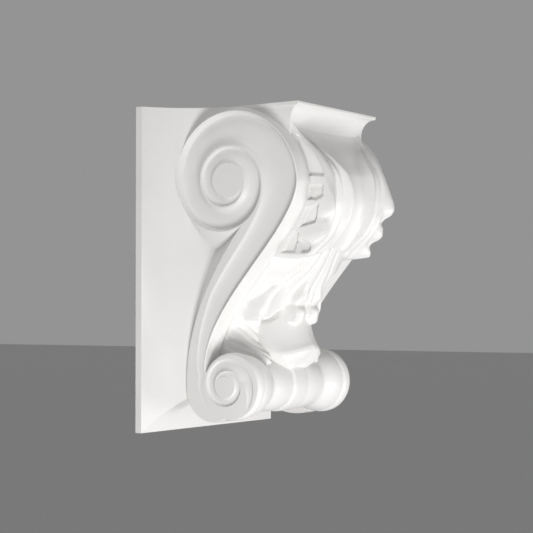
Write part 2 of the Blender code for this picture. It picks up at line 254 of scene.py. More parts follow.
@dataclass
class BackBody:
    """Back plate, the mitred coves and the block that carries the carving."""

    frame: Frame
    plate_thickness: float = 0.0216
    cove_inset: float = 0.151
    cove_depth: float = 0.280
    cove_steps: int = 40
    block_half: float = 0.2222
    block_depth: float = 0.4700

    def inset(self, depth: float) -> float:
        """Tells how far the cove has drawn in.

        Args:
            depth: Depth from the wall.

        Returns:
            The inset from the plate's edge.
        """
        run = self.cove_depth - self.plate_thickness
        radius = (self.cove_inset ** 2 + run ** 2) / (2 * self.cove_inset)
        return self.cove_inset - radius + math.sqrt(radius ** 2 - (self.cove_depth - depth) ** 2)

    def section(self, depth: float, half: float, foot: float) -> list[Vector]:
        """Gives one upright rectangle of the body.

        Args:
            depth: Depth from the wall.
            half: Half width there.
            foot: Height of its lower edge.

        Returns:
            The four corners.
        """
        corners = ((-half, foot), (half, foot), (half, 1.0), (-half, 1.0))
        return [self.frame.place(x, (depth, z)) for x, z in corners]

    def build(self) -> bpy.types.Object:
        """Builds the body as one loft away from the wall."""
        half = self.frame.half_width / self.frame.height
        sections = [self.section(0.0, half, 0.0)]
        run = self.cove_depth - self.plate_thickness
        for step in range(self.cove_steps + 1):
            depth = self.plate_thickness + run * step / self.cove_steps
            inset = self.inset(depth)
            sections.append(self.section(depth, half - inset, inset))
        sections.append(self.section(self.block_depth, self.block_half, self.cove_inset))
        return loft(sections, "back_body")


@dataclass(frozen=True)
class ChannelFades:
    """Steps over which a channel deepens at its start, shallows at its end and reaches its full depth."""

    start: int
    end: int
    deepen: int


@dataclass
class SideScroll:
    """One side's scroll: volute, S band and heel, and the channels that run along its face.

    The slab's wall side leans toward the wall by the draft at its root. Each of the volute's leans is a
    share of the draft and the angles that it grows between. The heel channel's angles are in degrees, all
    others in radians.
    """

    frame: Frame
    side: Side
    face: float = 0.281
    inner: float = 0.2093
    field_half: float = 0.224
    draft: float = 0.072
    draft_curve: float = 1.25
    edge_round: float = 0.0045
    channel_depth: float = 0.0240
    channel_rise: float = 0.55
    land: float = 0.0034
    centre: Pair = (0.268, 0.765)
    radius: float = 0.2555
    shrink: float = 0.844
    turns: float = 2.95
    steps: int = 96
    lean_levels: int = 12
    edge_levels: int = 6
    volute_leans: tuple[Triple, ...] = ((0.2, 0.9, 1.6), (0.8, 2.3, 4.4))
    band_pull: float = 0.160
    band_foot: Pair = (0.193, 0.190)
    band_foot_pull: float = 0.210
    band_crest: Line = ((0.398, 0.745), (0.395, 0.600), (0.150, 0.460), (0.142, 0.200))
    back_edge: Line = ((0.330, 0.640), (0.230, 0.520), (0.126, 0.350), (0.124, 0.160))
    heel_centre: Pair = (0.224, 0.135)
    heel_radius: float = 0.100
    heel_turns: Pair = (math.radians(180.0), math.radians(297.0))
    heel_steps: int = 24
    heel_lean: float = 0.5
    heel_fade: Pair = (0.0, 18.0)
    volute_steps: int = 140
    band_steps: int = 80
    band_lean_fade: Pair = (0.3, 1.0)
    band_lap: float = math.radians(20.0)
    lap_steps: int = 8
    disc_centre: Pair = (0.287, 0.144)
    disc_radius: float = 0.1020
    lower_centre: Pair = (0.270, 0.145)
    lower_radius: float = 0.1010
    lower_shrink: float = 0.857
    lower_start: float = math.radians(-42.0)
    lower_turns: float = 1.56
    channel_clear: float = 0.04
    channel_open: float = 0.25
    channel_share: float = 0.26
    land_share: float = 0.07
    inner_land: float = 0.3
    first_step: float = 0.3
    last_step: float = 0.7
    deepen_start: float = 0.6
    upper_fades: ChannelFades = ChannelFades(start=34, end=26, deepen=90)
    lower_fades: ChannelFades = ChannelFades(start=16, end=24, deepen=1)
    band_channel_steps: int = 60
    heel_channel_steps: int = 14
    heel_channel_start: float = 232.0
    heel_channel_turn: float = 78.0
    heel_channel_inset: float = 0.022
    disc_share: float = 0.97
    profile: Line = ((0.0, 0.0), (0.03, 0.08), (0.07, 0.26), (0.12, 0.46), (0.20, 0.67), (0.30, 0.82),
                     (0.44, 0.93), (0.60, 0.99), (0.74, 1.0), (0.85, 0.985), (0.90, 0.90), (0.93, 0.72),
                     (0.955, 0.46), (0.98, 0.18), (1.0, 0.0))

    def crest(self, angle: float) -> Vector:
        """Gives the upper volute's crest at an angle that grows from the front over the top."""
        radius = self.radius * self.shrink ** (angle / QUARTER)
        return Vector(self.centre) + radius * arm(angle)

    def lower_crest(self, angle: float) -> Vector:
        """Gives the lower volute's crest at an angle that grows from the front over the top."""
        radius = self.lower_radius * self.lower_shrink ** (angle / QUARTER)
        return Vector(self.lower_centre) + radius * arm(angle)

    def front_edge(self, t: float) -> Vector:
        """Gives the S band's front edge.

        Args:
            t: Share of the way from the volute down to the band's foot.

        Returns:
            The point of the edge.
        """
        start = self.crest(0.0)
        pull = (start.x, start.y - self.band_pull)
        foot_pull = (self.band_foot[0], self.band_foot[1] + self.band_foot_pull)
        return bezier((tuple(start), pull, foot_pull, self.band_foot), t)

    def front_depth(self, height: float) -> float:
        """Finds the depth of the scroll's front edge by halving.

        Args:
            height: Height from the foot.

        Returns:
            The depth from the wall.
        """
        over = height >= self.centre[1]
        edge, high, sign = (self.crest, QUARTER, 1) if over else (self.front_edge, 1.0, -1)
        low = 0.0
        for _ in range(HALVINGS):
            middle = (low + high) / 2
            low, high = (middle, high) if sign * (height - edge(middle).y) > 0 else (low, middle)
        return edge(low).x

    def levels(self) -> list[Triple]:
        """Gives the slab's levels outward: place across, lean of the wall side, rounding of the edge."""
        levels = [(self.inner, 1.0, 0.0)]
        for step in range(self.lean_levels):
            share = step / self.lean_levels
            across = self.field_half + (self.face - self.edge_round - self.field_half) * share
            levels.append((across, (1.0 - share) ** self.draft_curve, 0.0))
        for step in range(self.edge_levels):
            turn = QUARTER * step / (self.edge_levels - 1)
            across = self.face - self.edge_round * (1.0 - math.sin(turn))
            levels.append((across, 0.0, self.edge_round * (1.0 - math.cos(turn))))
        return levels

    def grow(self, line: list[Vector], leans: list[float], name: str) -> bpy.types.Object:
        """Lofts a slab outward from an outline, with a leaning wall side and a rounded edge.

        Args:
            line: The outline at the face.
            leans: How much each point takes part in the lean, from 0 to 1.
            name: Name of the slab.

        Returns:
            The closed slab.
        """
        sign = self.side.value
        normals = []
        for index in range(len(line)):
            along = line[min(index + 1, len(line) - 1)] - line[max(index - 1, 0)]
            normals.append(Vector((along.y, -along.x)).normalized())
        sections = []
        for across, lean, rounding in self.levels():
            section = []
            for point, normal, share in zip(line, normals, leans):
                moved = point + normal * (self.draft * lean * share - rounding)
                section.append(self.frame.place(sign * across, tuple(moved)))
            sections.append(section)
        return loft(sections, f"{name}_{self.side.name.lower()}")

    def volute(self) -> bpy.types.Object:
        """Builds the upper volute's slab, one full turn of its crest."""
        angles = [math.tau * step / self.volute_steps for step in range(self.volute_steps + 1)]
        line = [self.crest(angle) for angle in angles]
        leans = [sum(share * ease(low, high, angle) for share, low, high in self.volute_leans)
                 for angle in angles]
        return self.grow(line, leans, "volute")

    def band(self) -> bpy.types.Object:
        """Builds the S band's slab with its heel, from the volute down to the roll."""
        line = [self.front_edge(1 - step / self.band_steps) for step in range(self.band_steps)]
        line += [self.crest(self.band_lap * step / self.lap_steps) for step in range(self.lap_steps + 1)]
        line.append(Vector(self.centre))
        leans = [0.0] * len(line)
        half = self.band_steps // 2
        line += [bezier(self.back_edge, step / half) for step in range(half + 1)]
        leans += [1.0 - self.heel_lean * ease(*self.band_lean_fade, step / half) for step in range(half + 1)]
        start, end = self.heel_turns
        for step in range(1, self.heel_steps + 1):
            turn = start + (end - start) * step / self.heel_steps
            line.append(Vector(self.heel_centre) + self.heel_radius * arm(turn))
            leans.append(self.heel_lean - self.heel_lean * ease(*self.heel_fade, step))
        line.append(Vector(self.disc_centre))
        leans.append(0.0)
        return self.grow(line, leans, "band")

    def channel(self, pairs: list[tuple[Vector, Vector]], fades: ChannelFades, name: str) -> bpy.types.Object:
        """Builds the cutter of a channel between pairs of crest points.

        Args:
            pairs: Outer and inner crest points along the channel.
            fades: Steps over which its depth changes.
            name: Name of the cutter.

        Returns:
            The closed cutter.
        """
        sign = self.side.value
        outside = self.face + self.channel_clear
        sections = []
        for count, (outer, inner) in enumerate(pairs):
            run = (outer - inner).length
            across = (outer - inner).normalized() * min(self.land, run * self.land_share)
            share = min(1.0, (count + self.first_step) / fades.start,
                        (len(pairs) - self.last_step - count) / fades.end)
            opened = self.channel_open + (1.0 - self.channel_open) * share
            start = outer.lerp(inner, opened) + across * self.inner_land
            end = outer - across
            risen = ease(self.deepen_start * fades.deepen, fades.deepen, count)
            sink = min(self.channel_depth, run * self.channel_share) * share
            sink *= self.channel_rise + (1.0 - self.channel_rise) * risen
            section = [(self.face - sink * deep, start.lerp(end, place)) for place, deep in self.profile]
            section += [(outside, end), (outside, start)]
            sections.append([self.frame.place(sign * x, tuple(point)) for x, point in section])
        return loft(sections, f"{name}_{self.side.name.lower()}")

    def cutters(self) -> list[bpy.types.Object]:
        """Builds the cutters of both channels."""
        rise = self.band_channel_steps
        turn = math.tau / self.steps
        pairs = []
        for step in range(self.heel_channel_steps):
            turned = self.heel_channel_turn * step / self.heel_channel_steps
            way = arm(math.radians(self.heel_channel_start - turned))
            heel = Vector(self.heel_centre) + (self.heel_radius - self.heel_channel_inset) * way
            pairs.append((Vector(self.disc_centre) + self.disc_radius * self.disc_share * way, heel))
        pairs += [(self.front_edge(1 - step / rise), bezier(self.band_crest, 1 - step / rise))
                  for step in range(rise)]
        pairs += [(self.crest(step * turn), self.crest(step * turn + math.tau))
                  for step in range(round((self.turns - 1) * self.steps) + 1)]
        upper = self.channel(pairs, self.upper_fades, "upper_channel")
        pairs = []
        for step in range(round(self.lower_turns * self.steps) + 1):
            angle = self.lower_start + step * turn
            pairs.append((self.lower_crest(angle), self.lower_crest(angle + math.tau)))
        return [upper, self.channel(pairs, self.lower_fades, "lower_channel")]


@dataclass
class Roll:
    """Roll under the scrolls: end discs, flared bells, barrels and a middle collar."""

    frame: Frame
    face: float = 0.281
    centre: Pair = (0.287, 0.144)
    disc_radius: float = 0.1027
    sides: int = 160
    outline: Line = ((0.0, 0.0870), (0.030, 0.0870), (0.0355, 0.0855), (0.0385, 0.0805), (0.0410, 0.0795),
                     (0.0450, 0.0802), (0.060, 0.0822), (0.080, 0.0835), (0.098, 0.0832), (0.116, 0.0818),
                     (0.132, 0.0793), (0.144, 0.0770), (0.152, 0.0763), (0.160, 0.0778), (0.172, 0.0838),
                     (0.186, 0.0900), (0.200, 0.0942), (0.216, 0.0970), (0.230, 0.0980), (0.2375, 0.0976),
                     (0.2400, 0.0952), (0.2425, 0.0990), (0.2460, 0.1016), (0.2530, 0.1027), (0.2640, 0.1027),
                     (0.2730, 0.1016), (0.2780, 0.0996), (0.2800, 0.0980), (0.2810, 0.0955))

    def build(self) -> bpy.types.Object:
        """Turns the roll about its own axis along X."""
        half = [(self.face, 0.0)] + [(x, radius) for x, radius in reversed(self.outline)]
        points = half + [(-x, radius) for x, radius in reversed(half) if x > 0.0]
        centre = self.frame.place(0.0, self.centre)
        height = self.frame.height
        bm = bmesh.new()
        verts = [bm.verts.new(centre + Vector((x * height, 0.0, radius * height))) for x, radius in points]
        edges = [bm.edges.new(pair) for pair in zip(verts, verts[1:])]
        bmesh.ops.spin(bm, geom=verts + edges, cent=centre, axis=(1.0, 0.0, 0.0), angle=math.tau,
                       steps=self.sides, use_merge=True)
        return solid_from(bm, "roll")


@dataclass
class CapMoulding:
    """Cap along the top of the front: a lip over a cavetto, mitred into thin returns on the sides."""

    frame: Frame
    half: float = 0.2443
    neck_half: float = 0.2222
    depth: float = 0.5033
    back: float = 0.282
    steps: int = 20
    bottom: float = 0.900
    drop: float = 0.066
    projection: float = 0.0420
    lip: float = 0.007
    chamfer: float = 0.004
    arris: float = 0.001

    def build(self) -> bpy.types.Object:
        """Builds the cap from level slices, widest at the lip."""
        neck = self.neck_half
        fall = self.lip + self.chamfer
        slices = [(1.0, self.arris), (1.0 - self.arris, 0.0), (1.0 - self.lip, 0.0),
                  (1.0 - fall, self.chamfer)]
        for step in range(1, self.steps + 1):
            turn = QUARTER * step / self.steps
            slices.append((1.0 - fall - (self.drop - fall) * (1 - math.cos(turn)),
                           self.chamfer + (self.projection - self.chamfer) * math.sin(turn)))
        slices.append((self.bottom, self.projection))
        sections = []
        for height, draw in slices:
            half = self.half - (self.half - neck) * draw / self.projection
            front = self.depth - draw
            corners = ((-neck, self.back), (neck, self.back), (half, front), (-half, front))
            sections.append([self.frame.place(x, (depth, height)) for x, depth in corners])
        return loft(sections, "cap_moulding")


@dataclass(frozen=True)
class LeafLevel:
    """What the carving's lines read at one height."""

    height: float
    strip: float
    ridge: float
    crest: float
    middle: float
    edge: float


@dataclass
class LeafFront:
    """Carved front between the scrolls: upper leaf, skirt and tongue.

    The lines for ridge, middle, edge, rim, tongue_middle, tongue_under and flank_inner go by height. The
    three from outer_face to blade go by the share of the way from the ridge to the edge, and the others by
    the place across. A pocket has its sink and its corners, a dent its place across, its height, both half
    widths and its depth, and a lobe its height, half width and rise.
    """

    frame: Frame
    scroll: SideScroll
    top: float = 0.945
    foot: float = 0.150
    rows: int = 360
    columns: tuple[int, ...] = (17, 12, 11, 26)
    wall_columns: int = 23
    reach: float = 0.2130
    wall_foot: float = 0.2088
    wall_curve: float = 0.8
    wall_lap: float = 0.004
    sheet_lap: float = 0.012
    back: float = 0.060
    shoulders: Pair = (0.24, 0.42)
    ridge_across: Line = ((0.945, 0.200), (0.925, 0.186), (0.905, 0.163), (0.888, 0.145), (0.839, 0.107),
                          (0.788, 0.081), (0.714, 0.066), (0.617, 0.058), (0.575, 0.046), (0.520, 0.050),
                          (0.430, 0.076), (0.385, 0.086), (0.350, 0.105), (0.330, 0.130), (0.300, 0.132),
                          (0.270, 0.130), (0.248, 0.124), (0.215, 0.098), (0.195, 0.062), (0.178, 0.030),
                          (0.150, 0.028))
    ridge_depth: Line = ((0.945, 0.455), (0.925, 0.467), (0.905, 0.484), (0.888, 0.497), (0.839, 0.543),
                         (0.788, 0.582), (0.745, 0.5935), (0.714, 0.5950), (0.662, 0.585), (0.617, 0.558),
                         (0.567, 0.500), (0.520, 0.455))
    middle_depth: Line = ((0.945, 0.456), (0.925, 0.462), (0.905, 0.472), (0.888, 0.486), (0.839, 0.524),
                          (0.788, 0.556), (0.714, 0.570), (0.662, 0.560), (0.617, 0.534), (0.567, 0.488),
                          (0.520, 0.455))
    edge_across: Line = ((0.945, 0.206), (0.888, 0.201), (0.760, 0.200), (0.705, 0.199), (0.660, 0.187),
                         (0.600, 0.183), (0.560, 0.187), (0.540, 0.196), (0.500, 0.2045), (0.150, 0.2050))
    rim_depth: Line = ((0.945, 0.452), (0.905, 0.480), (0.850, 0.540), (0.800, 0.570), (0.765, 0.583),
                       (0.740, 0.590), (0.715, 0.5965), (0.694, 0.5985), (0.676, 0.590), (0.662, 0.566),
                       (0.650, 0.556), (0.632, 0.561), (0.612, 0.560), (0.599, 0.548), (0.588, 0.524),
                       (0.578, 0.515), (0.562, 0.516), (0.548, 0.510), (0.536, 0.488), (0.515, 0.430))
    plain_rim: Line = ((0.945, 0.462), (0.905, 0.484), (0.850, 0.540), (0.800, 0.570), (0.765, 0.579),
                       (0.720, 0.580), (0.680, 0.576), (0.640, 0.560), (0.600, 0.534), (0.574, 0.512),
                       (0.548, 0.480), (0.520, 0.430))
    notch_rise: float = 0.045
    notch_fade: Pair = (0.62, 0.95)
    trough_sink: float = 0.014
    trough_top: Pair = (0.90, 0.80)
    trough_foot: Pair = (0.57, 0.66)
    trough_dish: float = 0.20
    trough_wall: float = 0.80
    trough_wall_power: int = 9
    blade_slope: float = 0.35
    blade_drop: float = 0.65
    blade_drop_fade: Pair = (0.15, 0.95)
    outer_face: Line = ((0.0, 0.0), (0.06, -0.0020), (0.14, -0.0095), (0.20, -0.0170), (0.24, -0.0215))
    second_ridge: Line = ((0.24, -0.0215), (0.27, -0.0195), (0.34, -0.0100), (0.38, -0.0070), (0.42, -0.0100))
    blade: Line = ((0.42, -0.0100), (0.47, -0.0200), (0.51, -0.0235), (0.55, -0.0195), (0.61, -0.0070),
                   (0.66, -0.0020), (0.78, -0.0010), (0.90, -0.0020), (1.0, -0.0040))
    relief_top: Pair = (0.925, 0.875)
    relief_waist: Pair = (0.600, 0.700)
    relief_least: float = 0.35
    blade_roll: float = 0.007
    roll_across: Pair = (0.62, 1.0)
    roll_foot: Pair = (0.690, 0.790)
    roll_top: Pair = (0.900, 0.860)
    seam: Line = ((0.0, 0.572), (0.05, 0.558), (0.10, 0.541), (0.16, 0.535), (0.205, 0.542))
    gather_place: Pair = (0.030, 0.548)
    gather_height: float = 0.0035
    gather_count: float = 9.0
    gather_middle: float = 0.6
    gather_top: Pair = (0.720, 0.640)
    gather_across: Pair = (0.010, 0.060)
    pockets: tuple[tuple[float, Line], ...] = (
        (0.013, ((0.468, 0.906), (0.508, 0.776), (0.566, 0.774), (0.570, 0.800), (0.550, 0.842),
                 (0.500, 0.896))),
        (0.013, ((0.512, 0.754), (0.512, 0.705), (0.545, 0.703), (0.564, 0.712), (0.566, 0.750))),
        (0.013, ((0.512, 0.684), (0.552, 0.697), (0.532, 0.636), (0.478, 0.622))),
        (0.009, ((0.464, 0.618), (0.481, 0.611), (0.464, 0.549), (0.416, 0.549))),
        (0.010, ((0.474, 0.587), (0.488, 0.591), (0.518, 0.568), (0.512, 0.549), (0.484, 0.547))),
    )
    pocket_wall: float = 2.6
    pocket_room: float = 0.01
    skirt_spread: tuple[float, ...] = (0.0, 0.050, 0.100, 0.160, 0.190)
    skirt_depth: tuple[tuple[float, tuple[float, ...]], ...] = (
        (0.580, (0.492, 0.488, 0.472, 0.452, 0.440)),
        (0.500, (0.450, 0.446, 0.428, 0.404, 0.386)),
        (0.430, (0.410, 0.404, 0.381, 0.350, 0.322)),
        (0.385, (0.398, 0.391, 0.371, 0.338, 0.298)),
        (0.330, (0.398, 0.388, 0.364, 0.330, 0.280)),
    )
    folds: Line = ((0.0, 0.0050), (0.006, 0.0040), (0.012, -0.0060), (0.020, -0.0010), (0.045, 0.0080),
                   (0.066, 0.0050), (0.078, -0.0180), (0.092, -0.0220), (0.104, -0.0060), (0.124, 0.0070),
                   (0.142, 0.0010), (0.152, -0.0070), (0.160, 0.0), (0.170, 0.0045), (0.180, 0.0),
                   (0.190, -0.0100), (0.200, -0.0020), (0.209, 0.0))
    fold_top: float = 0.575
    fold_foot: float = 0.370
    fold_pinch: float = 0.46
    fold_least: float = 0.15
    fold_fade: Pair = (0.2088, 0.185)
    strip_lap: float = 0.002
    hem: Line = ((0.0, 0.352), (0.012, 0.350), (0.030, 0.338), (0.050, 0.331), (0.068, 0.338), (0.078, 0.352),
                 (0.088, 0.376), (0.112, 0.376), (0.128, 0.366), (0.140, 0.352), (0.149, 0.344),
                 (0.155, 0.345), (0.160, 0.354), (0.166, 0.343), (0.178, 0.346), (0.186, 0.362),
                 (0.193, 0.384), (0.209, 0.394))
    hem_lip: float = 0.0060
    hem_turn: float = 0.012
    tongue_prow: Line = ((0.0, 0.0), (0.030, -0.0035), (0.060, -0.0135), (0.100, -0.0380), (0.130, -0.0720))
    tongue_middle: Line = ((0.400, 0.370), (0.350, 0.379), (0.310, 0.390), (0.284, 0.402), (0.268, 0.413))
    tongue_under: Line = ((0.268, 0.413), (0.258, 0.4150), (0.246, 0.4100), (0.232, 0.3970), (0.215, 0.378),
                          (0.195, 0.355), (0.172, 0.334), (0.150, 0.318))
    dents: tuple[tuple[float, float, float, float, float], ...] = (
        (0.186, 0.412, 0.013, 0.018, 0.017), (0.152, 0.454, 0.022, 0.010, 0.006),
        (0.161, 0.362, 0.007, 0.014, 0.012), (0.100, 0.375, 0.008, 0.030, 0.013),
        (0.172, 0.478, 0.018, 0.009, 0.007),
    )
    lobe_place: Pair = (0.044, 0.026)
    lobes: tuple[Triple, ...] = ((0.414, 0.022, 0.008), (0.391, 0.010, -0.012), (0.368, 0.018, 0.005))
    tongue_fall: float = 0.20
    tongue_lip: float = 0.020
    tongue_lip_share: float = 0.3
    tongue_lip_width: float = 0.010
    tongue_edge: Pair = (0.003, 0.002)
    tongue_tip: Pair = (0.166, 0.176)
    flank_inner: Line = ((0.400, 0.305), (0.330, 0.298), (0.290, 0.295), (0.260, 0.300), (0.235, 0.308),
                         (0.215, 0.306), (0.196, 0.272), (0.150, 0.240))
    dart: float = 0.058
    dart_place: Pair = (0.153, 0.186)
    dart_half: float = 0.030
    dart_slope: float = 0.9
    dart_fade: Pair = (0.290, 0.200)
    flank_lean: Line = ((0.130, 0.0), (0.165, -0.30), (0.190, -0.66), (0.209, -1.0))
    flute: float = 0.0070
    flute_gap: float = 0.0270
    flute_slant: float = 1.05
    flute_foot: float = 0.25
    flute_middle: float = 0.5
    flute_across: Pair = (0.209, 0.196)
    flute_top: Pair = (0.335, 0.300)
    soften: float = 0.0035

    def level(self, height: float) -> LeafLevel:
        """Reads the carving's lines at one height.

        Args:
            height: Height from the foot.

        Returns:
            The sizes there.
        """
        lines = (self.ridge_across, self.ridge_depth, self.middle_depth, self.edge_across)
        strip = self.scroll.front_depth(height)
        return LeafLevel(height, strip, *(read_line(line, height) for line in lines))

    def upper(self, across: float, level: LeafLevel) -> float:
        """Gives the depth of the upper leaf at a place.

        Args:
            across: Distance from the middle plane.
            level: The lines at this height.

        Returns:
            The depth from the wall.
        """
        height = level.height
        if across <= level.ridge:
            share = across / level.ridge
            rise = self.trough_dish * share ** 2 + self.trough_wall * share ** self.trough_wall_power
            sink = self.trough_sink * ease(*self.trough_top, height) * ease(*self.trough_foot, height)
            return level.middle - sink + (level.crest + sink - level.middle) * rise
        share = min(1.0, (across - level.ridge) / max(LEAST_RUN, level.edge - level.ridge))
        plain = read_line(self.plain_rim, height)
        lobed = read_line(self.rim_depth, height - self.notch_rise * (1.0 - share)) - plain
        rim = plain + lobed * ease(*self.notch_fade, share)
        fall = self.blade_slope * share + self.blade_drop * ease(*self.blade_drop_fade, share)
        base = level.crest + (rim - level.crest) * fall
        inner, outer = self.shoulders
        if share <= inner:
            relief = read_line(self.outer_face, share)
        elif share <= outer:
            relief = read_line(self.second_ridge, share)
        else:
            relief = read_line(self.blade, share)
        kept = self.relief_least + (1.0 - self.relief_least) * ease(*self.relief_waist, height)
        strength = ease(*self.relief_top, height) * kept
        pinch_across, pinch_height = self.gather_place
        angle = math.atan2(across - pinch_across, max(LEAST_RISE, height - pinch_height))
        near = ease(*self.gather_top, height) * ease(*self.gather_across, across)
        ribs = abs(math.sin(self.gather_count * angle / 2)) - self.gather_middle
        gather = self.gather_height * ribs * near
        turned = self.blade_roll * ease(*self.roll_across, share)
        turned *= ease(*self.roll_foot, height) * ease(*self.roll_top, height)
        return base + relief * strength + gather - turned

    def skirt(self, across: float, level: LeafLevel) -> float:
        """Gives the depth of the skirt at a place.

        Args:
            across: Distance from the middle plane.
            level: The lines at this height.

        Returns:
            The depth from the wall.
        """
        height = level.height
        points = []
        for index, place in enumerate(self.skirt_spread):
            rail = tuple((rise, depths[index]) for rise, depths in self.skirt_depth)
            points.append((place, read_line(rail, height)))
        points.append((self.wall_foot, level.strip + self.strip_lap))
        fall = ease(self.fold_top, self.fold_foot, height)
        spread = self.fold_pinch + (1.0 - self.fold_pinch) * fall
        strength = self.fold_least + (1.0 - self.fold_least) * fall
        fold = read_line(self.folds, across / spread) * strength * ease(*self.fold_fade, across)
        depth = read_line(tuple(points), across) + fold
        lobed = sum(rise * bump(place, half, height) for place, half, rise in self.lobes)
        dented = sum(deep * bump(x, half_x, across) * bump(z, half_z, height)
                     for x, z, half_x, half_z, deep in self.dents)
        return depth + lobed * bump(*self.lobe_place, across) - dented

    def tongue(self, across: float, level: LeafLevel) -> float:
        """Gives the depth of the tongue and of the fluted flank beside it at a place.

        Args:
            across: Distance from the middle plane.
            level: The lines at this height.

        Returns:
            The depth from the wall.
        """
        height = level.height
        inner = read_line(self.flank_inner, height)
        flank = inner + (inner - level.strip) * read_line(self.flank_lean, across)
        phase = (across - self.flute_slant * (height - self.flute_foot)) / self.flute_gap
        fade = ease(*self.flute_across, across) * ease(*self.flute_top, height)
        flank += self.flute * (abs(math.sin(math.pi * phase)) - self.flute_middle) * fade
        place, tip = self.dart_place
        end = tip + self.dart_slope * abs(across - place)
        kept = ease(end - self.soften, end + self.soften, height)
        flank += self.dart * ease(*self.dart_fade, height) * bump(place, self.dart_half, across) * kept
        half = level.ridge
        leant = height + self.tongue_fall * across
        profile = self.tongue_middle if leant >= self.tongue_middle[-1][0] else self.tongue_under
        crown = read_line(profile, leant) + read_line(self.tongue_prow, across)
        outside, inside = self.tongue_edge
        edge = ease(half + outside, half - inside, across)
        lip = self.tongue_lip * ease(half - self.tongue_lip_width, half, across) * self.tongue_lip_share
        return flank + (max(flank, crown - lip) - flank) * edge * ease(*self.tongue_tip, height)

    def depth(self, across: float, level: LeafLevel) -> float:
        """Gives the depth of the front carving at a place.

        Args:
            across: Distance from the middle plane.
            level: The lines at this height.

        Returns:
            The depth from the wall.
        """
        height = level.height
        seam = read_line(self.seam, across)
        if height >= seam + self.soften:
            return self.upper(across, level)
        hem = read_line(self.hem, across)
        above = self.skirt(across, level)
        if height > seam - self.soften:
            share = ease(seam - self.soften, seam + self.soften, height)
            return above + (self.upper(across, level) - above) * share
        above -= self.hem_lip * ease(hem + self.hem_turn, hem, height)
        if height >= hem + self.soften:
            return above
        below = self.tongue(across, level)
        return below + (above - below) * ease(hem - self.soften, hem + self.soften, height)

    def pocket(self, depth: float, height: float) -> float:
        """Tells how far the pockets sink the leaf's side at a place.

        Args:
            depth: Depth from the wall.
            height: Height from the foot.

        Returns:
            The sink across.
        """
        sink = 0.0
        for deep, corners in self.pockets:
            centre = Vector([sum(corner[axis] for corner in corners) / len(corners) for axis in (0, 1)])
            inside = 1.0
            for start, end in zip(corners, corners[1:] + corners[:1]):
                along = Vector(end) - Vector(start)
                normal = Vector((-along.y, along.x)).normalized()
                if normal.dot(centre - Vector(start)) < 0.0:
                    normal.negate()
                inside = min(inside, self.pocket_wall * normal.dot(Vector((depth, height)) - Vector(start)))
            sink = max(sink, min(deep, inside))
        return sink

    def section(self, level: LeafLevel) -> list[Pair]:
        """Gives the section of one half.

        Args:
            level: The lines at this height.

        Returns:
            Places across with their depths, from the middle outward.
        """
        inner, outer = self.shoulders
        run = level.edge - level.ridge
        borders = (0.0, level.ridge, level.ridge + run * inner, level.ridge + run * outer, level.edge)
        section = []
        for count, start, end in zip(self.columns, borders, borders[1:]):
            section += [(start + (end - start) * step / count) for step in range(count)]
        section.append(level.edge)
        section = [(across, self.depth(across, level)) for across in section]
        rim = section[-1][1]
        for step in range(1, self.wall_columns + 1):
            share = step / self.wall_columns
            depth = rim + (level.strip - self.wall_lap - rim) * share
            across = level.edge + (self.wall_foot - level.edge) * share ** self.wall_curve
            if rim > level.strip + self.pocket_room:
                across -= self.pocket(depth, level.height)
            section.append((across, depth))
        return section + [(self.reach, level.strip - self.sheet_lap)]

    def build(self) -> bpy.types.Object:
        """Builds the carving as one deep sheet whose back lies inside the body."""
        fall = self.foot - self.top
        levels = [self.level(self.top + fall * row / self.rows) for row in range(self.rows + 1)]
        sections = [self.section(level) for level in levels]
        half = len(sections[0]) - 1
        bm = bmesh.new()
        bmesh.ops.create_grid(bm, x_segments=2 * half, y_segments=self.rows, size=UNIT_HALF)
        made = bmesh.ops.extrude_face_region(bm, geom=bm.faces[:])["geom"]
        behind = {part for part in made if isinstance(part, bmesh.types.BMVert)}
        for vert in bm.verts:
            column = round((vert.co.x + UNIT_HALF) * 2 * half) - half
            row = round((UNIT_HALF - vert.co.y) * self.rows)
            across, depth = sections[row][abs(column)]
            if vert in behind:
                across = self.reach * abs(column) / half
                depth = levels[row].strip - self.back
            vert.co = self.frame.place(math.copysign(across, column), (depth, levels[row].height))
        return solid_from(bm, "leaf_front")


